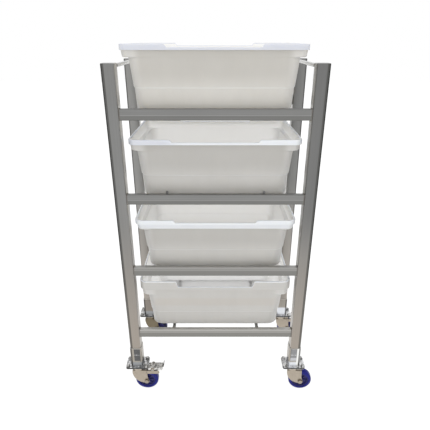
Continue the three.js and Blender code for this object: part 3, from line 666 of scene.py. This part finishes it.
for corner in corners:
    stand = stands[corner]
    plate = Form().add(skin([ring(plate_half_x, plate_half_y, flange_corner, z)
                             for z in (plate_bottom, plate_top)]), stand)
    plate.add(turned(race_profile, 48), stand)
    plate.add(turned(kingpin_profile), stand)
    plate.piece(f"caster_top_plate_{corner}", "frame", "plated_caster_steel", plate_steel,
                [f"caster_plate_{corner}"], bevel=0.0004)
    studs = Form()
    for x, y in bolt_places:
        place = stand @ Matrix.Translation((x, y, 0))
        studs.add(turned(washer_profile, 28), place)
        turn = Matrix.Rotation(math.radians(200 * x / bolt_x + 77 * y / bolt_y), 4, "Z")
        studs.add(hexagon(nut_radius, nut_bottom, nut_top), place @ turn)
        studs.add(threaded(thread_radius, thread_bottom, thread_top), place)
    studs.piece(f"caster_studs_{corner}", "frame", "plated_caster_steel", plate_steel)


# Forks: pressed from one steel sheet, with a swivel ring on the crown and a long leg down each
# side to the axle. Two of the four carry a pair of brake arms behind the legs.
def upright(outline, inner, thickness):
    """A sheet cut to an outline in X and Z, standing from y = inner towards -Y."""
    area = sum(a[0] * b[1] - b[0] * a[1] for a, b in zip(outline, outline[1:] + outline[:1]))
    outline = outline if area > 0 else outline[::-1]
    return skin([[(x, y, z) for x, z in outline] for y in (inner, inner - thickness)])


def arc(x, z, radius, start, end, steps=10):
    """Points of an arc, between two angles in degrees."""
    turns = [math.radians(start + (end - start) * step / steps) for step in range(steps + 1)]
    return [(x + radius * math.cos(turn), z + radius * math.sin(turn)) for turn in turns]


def bowed(start, control, end, steps=12):
    """Points of a curve that leaves start and reaches end along the lines to its control."""
    return [tuple((1 - t) ** 2 * a + 2 * t * (1 - t) * b + t * t * c
                  for a, b, c in zip(start, control, end))
            for t in (step / steps for step in range(1, steps))]


def shaded(shade, share):
    """Makes the front of the rear left caster darker: it stands in the cart's own shade."""
    def seam(finish, colour):
        rear_left = finish.step(finish.axis("X"), 0, -0.02) * finish.step(finish.axis("Y"), 0, 0.02)
        return finish.mix(rear_left * facing_front(finish) * share, colour, (*shade, 1))
    return seam


def caster_steel(name, dark, light, gloss, seam=None):
    """Satin pressed steel with faint drawing lines down the legs."""
    finish = Finish(bpy.data.materials.new(name))
    lines = finish.noise((420, 420, 60), 3)
    clouds = finish.noise((60, 60, 40), 2)
    return finish.shader({
        "Base Color": finish.tone(lines * 0.5 + clouds * 0.6 - 0.05, dark, light, seam),
        "Metallic": 1.0, "Roughness": lines * 0.2 + (gloss - 0.1)},
        0.15, 0.0004, lines + clouds)


fork_steel = caster_steel("pressed_fork", (0.36, 0.31, 0.25), (0.52, 0.46, 0.38), 0.36,
                          seam=shaded((0.1, 0.075, 0.03), 0.7))
trail, axle_height, eye_radius, crown_bottom, sheet = 0.036, 0.05, 0.012, 0.105, 0.003
crown_top, leg_inner, bend = crown_bottom + sheet, 0.018, 0.005
leg_outer, leg_top = leg_inner + sheet, crown_top - 0.012
fork_front, fork_rear = -0.024, 0.04
swivel_ring = [(0.0065, crown_top - 0.001), (0.023, crown_top - 0.001), (0.023, 0.1165),
               (0.0226, 0.119), (0.021, 0.121), (0.0065, 0.121)]
arm_length, arm_top, arm_low, arm_radius = 0.054, crown_top - 0.001, crown_top - 0.017, 0.008
pivot_x, pivot_z = 0.064, 0.114
caster_turns = {"front_left": 0, "front_right": -4, "rear_left": 0, "rear_right": 0}
braked = ("front_left", "rear_right")
swivels = {corner: stands[corner] @ Matrix.Rotation(math.radians(turn), 4, "Z")
           for corner, turn in caster_turns.items()}
for corner in corners:
    outer_bend = [(leg_outer, leg_top)] + arc(
        leg_outer - bend, crown_top - bend, bend, 0, 90, 6)
    inner_bend = arc(leg_outer - bend, crown_top - bend, bend - sheet, 90, 0, 6) + [
        (leg_inner, leg_top)]
    half_section = outer_bend + [(-y, z) for y, z in reversed(outer_bend)] + [
        (-y, z) for y, z in reversed(inner_bend)] + inner_bend
    crown = skin([[(x, y, z) for y, z in half_section] for x in (fork_rear, fork_front)])
    fork = Form().add(crown, swivels[corner])
    fork.add(turned(swivel_ring, 48), swivels[corner])
    leg = [(fork_front, leg_top)]
    leg += bowed(leg[0], (fork_front * 0.75, axle_height - eye_radius / 2),
                 (trail, axle_height - eye_radius))
    leg += arc(trail, axle_height, eye_radius, -90, 0)
    leg += bowed((trail + eye_radius, axle_height), (fork_rear, axle_height + eye_radius),
                 (fork_rear, leg_top), 8) + [(fork_rear, leg_top)]
    arm = [(fork_rear - sheet, arm_top), (fork_rear - sheet, arm_low)] + arc(
        fork_rear + arm_length - arm_radius, arm_top - arm_radius, arm_radius, -90, 90)
    for start in (leg_outer, -leg_inner):
        fork.add(upright(leg, start, sheet), swivels[corner])
        if corner in braked:
            fork.add(upright(arm, start, sheet), swivels[corner])
            fork.add(upright(arc(pivot_x, pivot_z, arm_radius, 0, 345, 23), start, sheet),
                     swivels[corner])
    fork.piece(f"pressed_fork_{corner}", f"swivel_{corner}", "pressed_fork_steel", fork_steel,
               [f"caster_fork_{corner}"], bevel=0.0006)


# Brake pedals: a folded plated channel between the arms, with grip ridges on its back, an
# upturned tip, a shoe below it for the tread, and a pin through both arms.
width, low_z, high_z, front_x, end_x = 0.034, 0.107, 0.12, 0.044, 0.11
ridge_count, first_ridge, ridge_pitch, pin_end = 6, 0.074, 0.0048, leg_outer + 0.0004
ridge = [(0.0008, -0.013), (0.0012, -0.0126), (0.0012, 0.0126), (0.0008, 0.013)]
pin = [(0.003, -pin_end), (0.003, pin_end)]
pin_head = [(0.0045, -0.001), (0.0045, 0.0004), (0.0036, 0.001)]
shoe = block((0.0805, -0.012, low_z - 0.020), (0.0835, 0.012, high_z - 0.0015))
for corner in braked:
    side = [(front_x, low_z), (end_x - 0.005, low_z), (end_x + 0.005, high_z + 0.012),
            (end_x + 0.002, high_z + 0.012), (end_x - 0.005, high_z), (front_x + 0.003, high_z),
            (front_x, high_z - 0.003)]
    inner = [(front_x - 0.002, low_z - 0.002), (end_x - 0.008, low_z - 0.002),
             (end_x - 0.008, high_z - 0.003), (front_x - 0.002, high_z - 0.003)]
    pedal = Form().add(carved(upright(side, width / 2, width),
                              [upright(inner, width / 2 - 0.003, width - 0.006)]),
                       swivels[corner])
    for here in range(ridge_count):
        ridge_place = Matrix.Translation((first_ridge + here * ridge_pitch, 0, high_z))
        pedal.add(turned(ridge, 12), swivels[corner] @ ridge_place @ stand_along_y)
    pedal.add(shoe, swivels[corner])
    at_pivot = swivels[corner] @ Matrix.Translation((pivot_x, 0, pivot_z))
    pedal.add(turned(pin, 20), at_pivot @ stand_along_y)
    for way, place in ((stand_along_y, pin_end + 0.001),
                       (Matrix.Rotation(math.pi / 2, 4, "X"), -pin_end - 0.001)):
        pedal.add(turned(pin_head, 20), at_pivot @ Matrix.Translation((0, place, 0)) @ way)
    pedal.piece(f"pedal_{corner}_channel", f"pedal_{corner}", "plated_caster_steel", plate_steel,
                [f"brake_pedal_{corner}"], bevel=0.0005)


# Wheels: a moulded blue tread with rounded shoulders on a darker blue hub, with webs between
# the hub's rim and boss.
def moulded(name, dark, light, gloss, sheen, seam=None):
    """Moulded plastic, a little cloudy, with fine scuffs."""
    finish = Finish(bpy.data.materials.new(name))
    clouds = finish.noise((70, 70, 70), 2)
    scuffs = finish.noise((600, 600, 600), 4, 0.6)
    return finish.shader({
        "Base Color": finish.tone(clouds * 0.9 + scuffs * 0.3 - 0.1, dark, light, seam),
        "Roughness": scuffs * 0.2 + (gloss - 0.1), "Specular IOR Level": sheen},
        0.1, 0.0003, scuffs)


tread_blue = moulded("blue_tread", (0.01, 0.011, 0.13), (0.018, 0.022, 0.27), 0.35, 0.2,
                     seam=shaded((0.01, 0.01, 0.01), 0.8))
hub_blue = moulded("navy_hub", (0.026, 0.024, 0.11), (0.04, 0.038, 0.18), 0.5, 0.3)
wheel_radius, half_width, shoulder, tread_depth = 0.05, 0.016, 0.009, 0.014
axles = {corner: swivels[corner] @ Matrix.Translation((trail, 0, axle_height)) @ stand_along_y
         for corner in corners}
for corner, at_axle in axles.items():
    inner = wheel_radius - tread_depth
    section = [(wheel_radius - shoulder + shoulder * math.cos(angle),
                half_width - shoulder + shoulder * math.sin(angle))
               for angle in (step / 8 * math.pi / 2 for step in range(9))]
    mirrored = [(radius, -y) for radius, y in reversed(section)]
    profile = [(inner, -half_width + 0.001), (inner + 0.001, -half_width)] + mirrored + section
    profile += [(inner + 0.001, half_width), (inner, half_width - 0.001)]
    Form().add(turned(profile, 72, looped=True), at_axle).piece(
        f"blue_tread_{corner}", f"wheel_{corner}", "blue_tread", tread_blue,
        [f"wheel_tread_{corner}"])
    rim, web, boss, bore = inner - 0.0003, inner - 0.0053, 0.013, 0.0064
    half, web_half, boss_half = half_width - 0.003, half_width - 0.009, leg_inner - 0.0004
    profile = [(bore, -boss_half), (boss - 0.001, -boss_half), (boss, -boss_half + 0.001),
               (boss, -web_half), (web, -web_half), (web + 0.001, -half), (rim, -half),
               (rim, half), (web + 0.001, half), (web, web_half), (boss, web_half),
               (boss, boss_half - 0.001), (boss - 0.001, boss_half), (bore, boss_half)]
    hub = Form().add(turned(profile, 48, looped=True), at_axle)
    for rib in range(8):
        spin = Matrix.Rotation(rib / 8 * math.tau, 4, "Z")
        for face in (-1, 1):
            y_low, y_high = sorted((face * (web_half - 0.001), face * (half - 0.0015)))
            hub.add(block((boss - 0.001, -0.0011, y_low), (web + 0.0012, 0.0011, y_high)),
                    at_axle @ spin)
    hub.piece(f"hub_{corner}", f"wheel_{corner}", "navy_hub", hub_blue,
              [f"wheel_hub_{corner}"], bevel=0.0004)


# Axle bolts: a hexagon bolt through fork and hub, with washers and a nut at its threaded end.
bolt_steel = caster_steel("bolt_steel", (0.34, 0.3, 0.24), (0.48, 0.42, 0.35), 0.5)
for corner, at_axle in axles.items():
    face, head_end = leg_outer + 0.0004, leg_outer + 0.0064
    bolt = Form().add(turned([(0.006, -face), (0.006, face)], 28), at_axle)
    bolt.add(hexagon(0.01, -head_end, -face - 0.0012), at_axle)
    bolt.add(hexagon(0.01, face + 0.0012, head_end), at_axle)
    for low_y, high_y in ((-face - 0.0012, -face), (face, face + 0.0012)):
        bolt.add(turned([(0.0098, low_y), (0.0098, high_y)], 28), at_axle)
    bolt.add(threaded(0.006, face + 0.004, head_end + 0.004, 0.0015), at_axle)
    bolt.piece(f"axle_{corner}", f"swivel_{corner}", "bolt_steel", bolt_steel,
               [f"axle_bolt_{corner}"], bevel=0.0003)


# Lugs: deep tubs moulded from white polyethylene. The lip is folded down all round and dips
# along the middle of each long side, with a shelf under it at the short ends, a small step low
# in the wall and a floor raised inside a foot rim. The lowest tub is a deeper one.
def white_plastic(name, dark, light, depth, seam=None, full_depth=0.024):
    """Milky polyethylene: soft sheen, cloudy, and clear enough for light to go some way in."""
    finish = Finish(bpy.data.materials.new(name))
    clouds = finish.noise((9, 9, 12), 3)
    flow = finish.noise((30, 30, 7), 3)
    scuffs = finish.noise((260, 260, 40), 4, 0.65)
    share = clouds * 0.6 + flow * 0.4 + scuffs * 0.3 - 0.15
    return finish.shader({
        "Base Color": finish.tone(share, dark, light, seam),
        "Roughness": scuffs * 0.16 + 0.34, "Subsurface Weight": min(depth / full_depth, 1),
        "Subsurface Scale": depth, "Subsurface Radius": (1.0, 0.95, 0.85)},
        0.12, 0.0006, flow + scuffs * 0.3)


def bent(stations, steps=5):
    """Stations of a wall, each a tuple of numbers with its bend last, with the bends rounded."""
    rounded = []
    for here, (*values, reach) in enumerate(stations):
        if not reach or here in (0, len(stations) - 1):
            rounded.append(values)
            continue
        sides = []
        for other in (stations[here - 1], stations[here + 1]):
            length = math.hypot(other[0] - values[0], other[3] - values[3]) or 1
            share = min(reach / length, 0.48)
            sides.append([a + (b - a) * share for a, b in zip(values, other)])
        rounded += [sides[0]] + [list(point) for point in bowed(
            sides[0], values, sides[1], steps)] + [sides[1]]
    return rounded


def painted_shade_above(finish, colour):
    """Painted shade: the rim of the uppermost lug, and the left end of the next, are darker and
    bluer.
    """
    height = finish.axis("Z")
    top = finish.step(height, 1.2, 1.35)
    second = finish.step(height, 1.0, 1.05) * (1 - finish.step(finish.axis("X"), -0.22, -0.14))
    return finish.mix(top.math("MAXIMUM", second * 0.85), colour, (0.7, 0.72, 0.78, 1))


# Lit and shaded copies of one polyethylene: the colours of inside, floor, rims and wall are painted
# light and shade.
open_inside = white_plastic("polyethylene_inside", (0.9, 0.89, 0.86), (0.95, 0.94, 0.91), 0.04)
deep_inside = white_plastic("polyethylene_low_inside", (0.93, 0.905, 0.85),
                            (0.95, 0.925, 0.875), 0.2)
open_base = white_plastic("polyethylene_floor", (0.84, 0.83, 0.8), (0.9, 0.89, 0.86), 0.003)
deep_base = white_plastic("polyethylene_low_floor", (0.96, 0.94, 0.89), (0.98, 0.96, 0.92), 0.5)
bright_rim = white_plastic("polyethylene_rim", (0.84, 0.87, 0.91), (0.9, 0.93, 0.97), 0.012,
                           painted_shade_above)
plain_rim = white_plastic("polyethylene_low_rim", (0.58, 0.57, 0.55), (0.66, 0.65, 0.625), 0.012)
wall, lip_proud, dip_length, slope_length = 0.003, 0.005, 0.294, 0.01
skirt_draft, shelf_reach, step_reach, side_lean = 0.003, 0.016, 0.0075, 0.034
body_draft, foot_rim, floor_z, corner_steps = 0.0025, 0.015, 0.003, 10
corner_r, skirt_r, lip_r = 0.042, 0.022, 0.03
standard_lug = {"height": 0.215, "step": 0.084, "lip": 0.018, "dip": 0.0095, "skirt": 0.021}
deep_lug = {"height": 0.232, "step": 0.075, "lip": 0.038, "dip": 0.026, "skirt": 0.027}
lip_x, lip_y, floor_inset = 0.3, 0.2, 0.02
white_skirt_level, top_coat_depth, floor_coat_top = 3, 0.0032, 0.016


def lug_ring(half_x, half_y, radius, z, dips):
    """One ring round the lug, lowered by dips along the middle of each long side."""
    points = ring(half_x, half_y, radius, z, corner_steps)
    slope = [dip_length / 2 + slope_length * step / 6 for step in range(6, -1, -1)]
    for side_y, corners_before in ((-1, 3), (1, 1)):
        long_side = []
        for place in slope + [-place for place in reversed(slope)]:
            rise = min(max((abs(place) - dip_length / 2) / slope_length, 0), 1)
            rise = rise * rise * (3 - 2 * rise)
            long_side.append((side_y * place, side_y * half_y, z - dips * (1 - rise)))
        start = corners_before * (corner_steps + 1)
        points[start:start] = long_side
    return points


for level in levels:
    size = deep_lug if level == levels[-1] else standard_lug
    height, step_z = size["height"], size["step"]
    lip_bottom = height - size["lip"]
    shelf_z = lip_bottom - size["skirt"]
    skirt_x, skirt_y = lip_x - lip_proud, lip_y - lip_proud
    shelf_x, shelf_y = skirt_x - skirt_draft, skirt_y - skirt_draft
    body_x = shelf_x - shelf_reach
    step_x, step_y = body_x - step_reach, shelf_y - side_lean * (shelf_z - step_z) / height
    low_x, low_y = step_x - body_draft, step_y - body_draft
    base_x, base_y = low_x - body_draft, low_y - side_lean * step_z / height
    dip = size["dip"]
    foot_x, foot_y, foot_r = base_x - foot_rim, base_y - foot_rim, corner_r - foot_rim
    stations = [
        (foot_x, foot_y, foot_r, floor_z, 0, 0.0008),
        (foot_x, foot_y, foot_r, 0, 0, 0.0008),
        (base_x, base_y, corner_r, 0, 0, 0.006),
        (low_x, low_y, corner_r, step_z - 0.003, 0, 0.003),
        (step_x, step_y, corner_r, step_z, 0, 0.004),
        (body_x, shelf_y - 0.0004, corner_r, shelf_z, 0, 0.004),
        (shelf_x, shelf_y, skirt_r, shelf_z, 0, 0.004),
        (skirt_x, skirt_y, skirt_r + 0.003, lip_bottom, 0, 0.0015),
        (lip_x, lip_y, lip_r, lip_bottom, 0, 0.001),
        (lip_x, lip_y, lip_r, height, dip, 0.003),
        (skirt_x - wall, skirt_y - wall, lip_r - lip_proud - wall, height, dip, 0.003),
        (shelf_x - wall, shelf_y - wall, skirt_r - wall, shelf_z + wall, 0, 0.005),
        (body_x - wall, shelf_y - wall - 0.0004, corner_r - wall, shelf_z + wall, 0, 0.003),
        (step_x - wall, step_y - wall, corner_r - wall, step_z, 0, 0.004),
        (low_x - wall, low_y - wall, corner_r - wall, step_z - 0.003, 0, 0.003),
        (base_x - wall, base_y - wall, corner_r - wall, floor_z + wall, 0, 0.009),
    ]
    path = bent([(0, 0, 0, floor_z, 0, 0)] + stations + [(0, 0, 0, floor_z + wall, 0, 0)])[1:-1]
    rings = [lug_ring(x, y, radius, z, dips) for x, y, radius, z, dips in path]
    inner_floor = lug_ring(base_x - floor_inset, base_y - floor_inset, corner_r - floor_inset,
                           floor_z + wall, 0)
    # The third lug's skirt is as pale as its lip, so the rim's paler finish, painted light, reaches
    # further down
    rim_bottom = shelf_z + 0.003 if level == white_skirt_level else lip_bottom
    on_lip = [here for here, values in enumerate(path) if values[3] > rim_bottom]
    on_top = [here for here in on_lip if path[here][3] > height - top_coat_depth]
    on_floor = [here for here, values in enumerate(path)
                if here > on_top[-1] and values[3] < floor_coat_top]
    # From one ring to the next: 0 is the wall, 1 the lip, 2 its top, 3 the inside, 4 the floor
    coats = [(here >= on_lip[0]) + (here >= on_top[0]) + (here >= on_top[-1])
             + (here >= on_floor[0]) for here in range(len(rings))]
    lug_low, lug_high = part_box(f"lug_{level}")
    place = Matrix.Translation(((lug_low.x + lug_high.x) / 2, (lug_low.y + lug_high.y) / 2,
                                lug_low.z))
    step_height = lug_low.z + step_z

    def painted_wall_light(finish, colour):
        """Painted light and shade: a pale line along the step, pale corners, and a darker wall
        above the step. The deep lug has a warmer band above its step.
        """
        height_over = finish.axis("Z") - step_height
        # Painted shade: the outer wall is darker above the step
        thin = finish.step(height_over, -0.02, 0.05) * (0.07 if size is deep_lug else 0.34)
        colour = finish.mix(thin, colour, (0.32, 0.315, 0.3, 1))
        warm = finish.step(height_over, 0.025, 0.04) * (1 - finish.step(height_over, 0.065, 0.08))
        colour = finish.mix(warm * (0.3 if size is deep_lug else 0), colour, (0.6, 0.54, 0.47, 1))
        line = finish.step(height_over, -0.006, -0.003) * (1 - finish.step(height_over, 0, 0.003))
        aside = (finish.axis("X") - place.translation.x).math("ABSOLUTE")
        corner_share = finish.step(aside, base_x - 0.035, base_x - 0.005)
        colour = finish.mix(corner_share * 0.45, colour, (0.8, 0.79, 0.77, 1))
        return finish.mix(line * 0.5, colour, (0.8, 0.8, 0.78, 1))

    outer_wall = white_plastic(f"polyethylene_wall_{level}", (0.6, 0.585, 0.555),
                               (0.69, 0.675, 0.645), 0.012, painted_wall_light)
    rim, inside, base = ((plain_rim, deep_inside, deep_base) if size is deep_lug
                         else (bright_rim, open_inside, open_base))
    Form().add(skin(rings + [inner_floor]), place, [
        coat for coat in coats for point in rings[0]] + [0, 4]).piece(
        f"white_lug_{level}", f"lug_{level}", "white_polyethylene",
        [outer_wall, rim, bright_rim, inside, base], [f"lug_{level}"], sharp=50)
